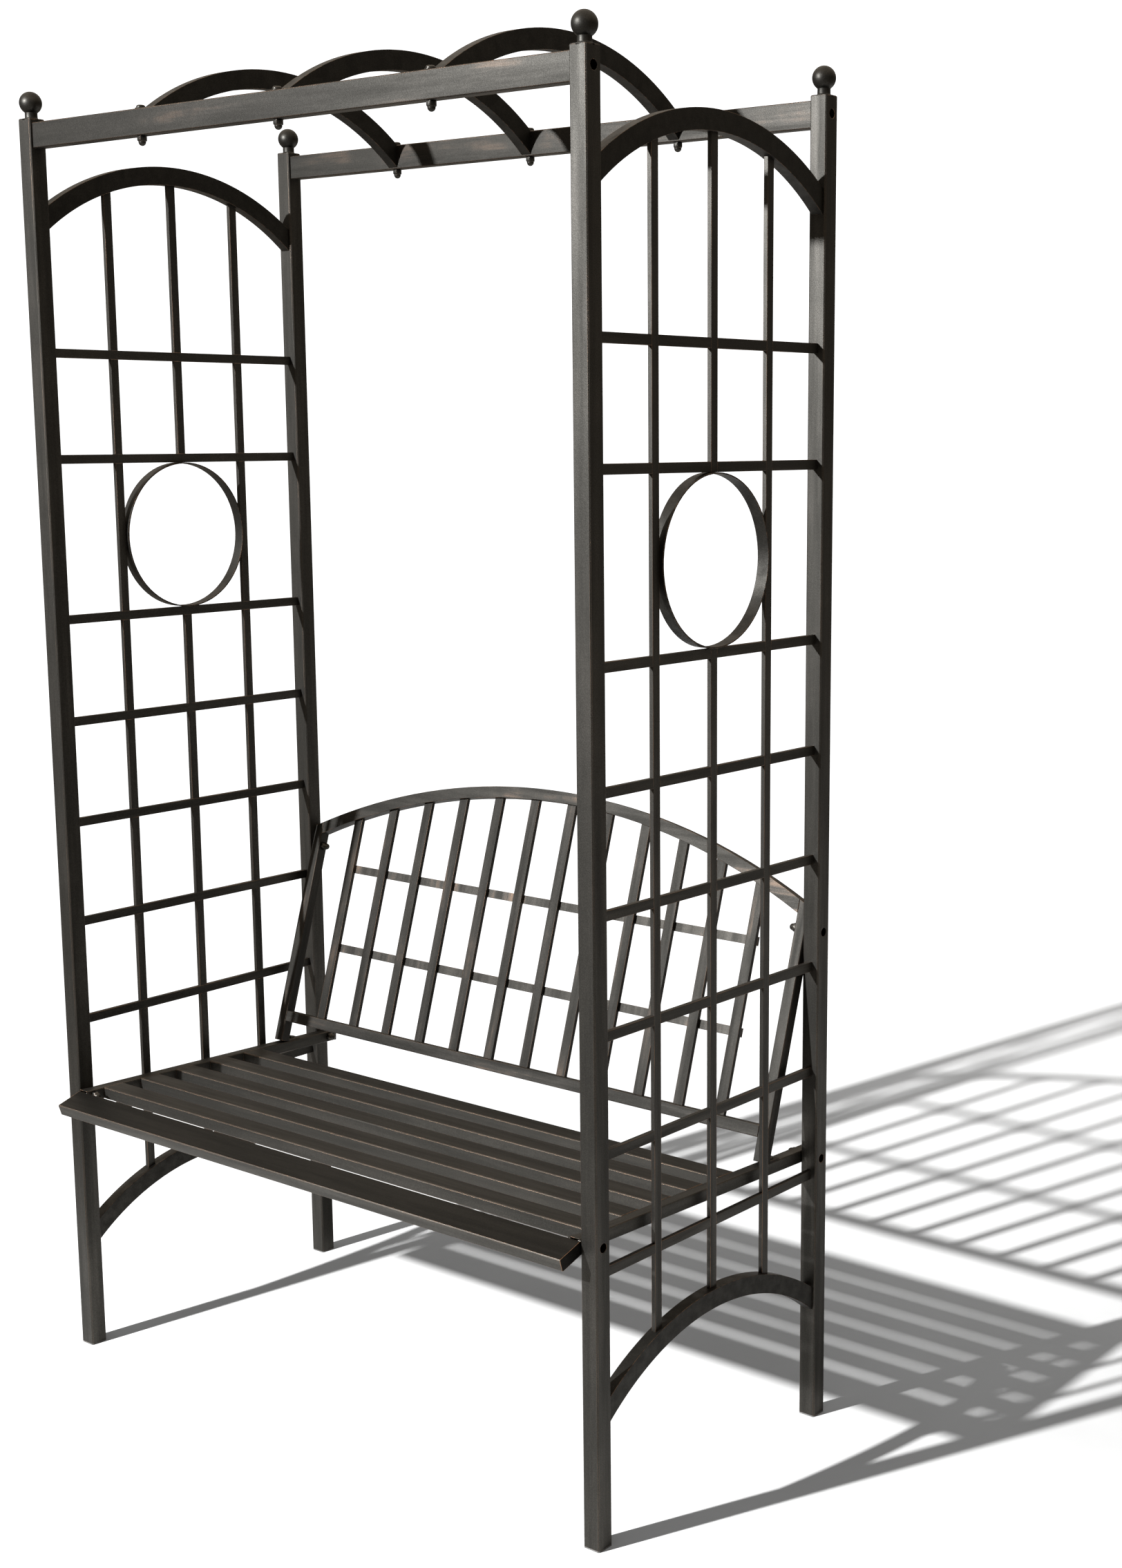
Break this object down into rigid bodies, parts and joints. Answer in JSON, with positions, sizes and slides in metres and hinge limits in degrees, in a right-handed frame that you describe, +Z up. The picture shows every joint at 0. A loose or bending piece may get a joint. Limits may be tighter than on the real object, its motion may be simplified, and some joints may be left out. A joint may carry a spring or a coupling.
{
  "type": "arbour seat",
  "caption": "Free-standing metal garden arbour with trellis sides, curved roof bars and a built-in slatted bench with an arched, leaning back.",
  "frame": {"origin": "on the ground, at the bottom centre of the whole seat's box", "axes": "+X to the right along the bench as seen from the open front, +Y to the back, +Z up"},
  "size_m": [1.2164, 0.6622, 2.1811],
  "materials": {
    "frame_paint": "satin dark bronze powder coat",
    "seat_paint": "satin dark bronze powder coat, copper at worn edges",
    "finial_paint": "semi-gloss dark bronze",
    "fixings": "black-brown coated steel",
    "foot_plastic": "grey moulded plastic",
    "plug_plastic": "black moulded plastic"
  },
  "bodies": {
    "root": {"back_bar_lower": "frame_paint", "back_bar_upper": "frame_paint", "back_bottom_rail": "frame_paint", "back_foot_screws": "fixings", "back_slat_01": "frame_paint", "back_slat_02": "frame_paint", "back_slat_03": "frame_paint", "back_slat_04": "frame_paint", "back_slat_05": "frame_paint", "back_slat_06": "frame_paint", "back_slat_07": "frame_paint", "back_slat_08": "frame_paint", "back_slat_09": "frame_paint", "back_slat_10": "frame_paint", "back_slat_11": "frame_paint", "back_slat_12": "frame_paint", "back_top_rail": "frame_paint", "cap_nuts": "fixings", "foot_inserts": "foot_plastic", "frame_bolts": "fixings", "front_top_rail": "frame_paint", "left_back_upright": "frame_paint", "left_front_finial": "finial_paint", "left_front_post": "frame_paint", "left_lower_arch": "frame_paint", "left_rear_finial": "finial_paint", "left_rear_post": "frame_paint", "left_seat_rail": "frame_paint", "left_trellis_centre_upright": "frame_paint", "left_trellis_crossbars": "frame_paint", "left_trellis_front_upright": "frame_paint", "left_trellis_rear_upright": "frame_paint", "left_upper_arch": "frame_paint", "rear_top_rail": "frame_paint", "right_back_upright": "frame_paint", "right_front_finial": "finial_paint", "right_front_post": "frame_paint", "right_lower_arch": "frame_paint", "right_rear_finial": "finial_paint", "right_rear_post": "frame_paint", "right_seat_rail": "frame_paint", "right_trellis_centre_upright": "frame_paint", "right_trellis_crossbars": "frame_paint", "right_trellis_front_upright": "frame_paint", "right_trellis_rear_upright": "frame_paint", "right_upper_arch": "frame_paint", "roof_arch_left": "frame_paint", "roof_arch_middle": "frame_paint", "roof_arch_right": "frame_paint", "roof_bolts": "fixings", "roof_washers": "fixings", "seat_front_board": "seat_paint", "seat_rail_plugs": "plug_plastic", "seat_slat_1": "seat_paint", "seat_slat_2": "seat_paint", "seat_slat_3": "seat_paint", "seat_slat_4": "seat_paint", "seat_slat_5": "seat_paint", "trellis_rings": "frame_paint"}
  },
  "joints": []
}
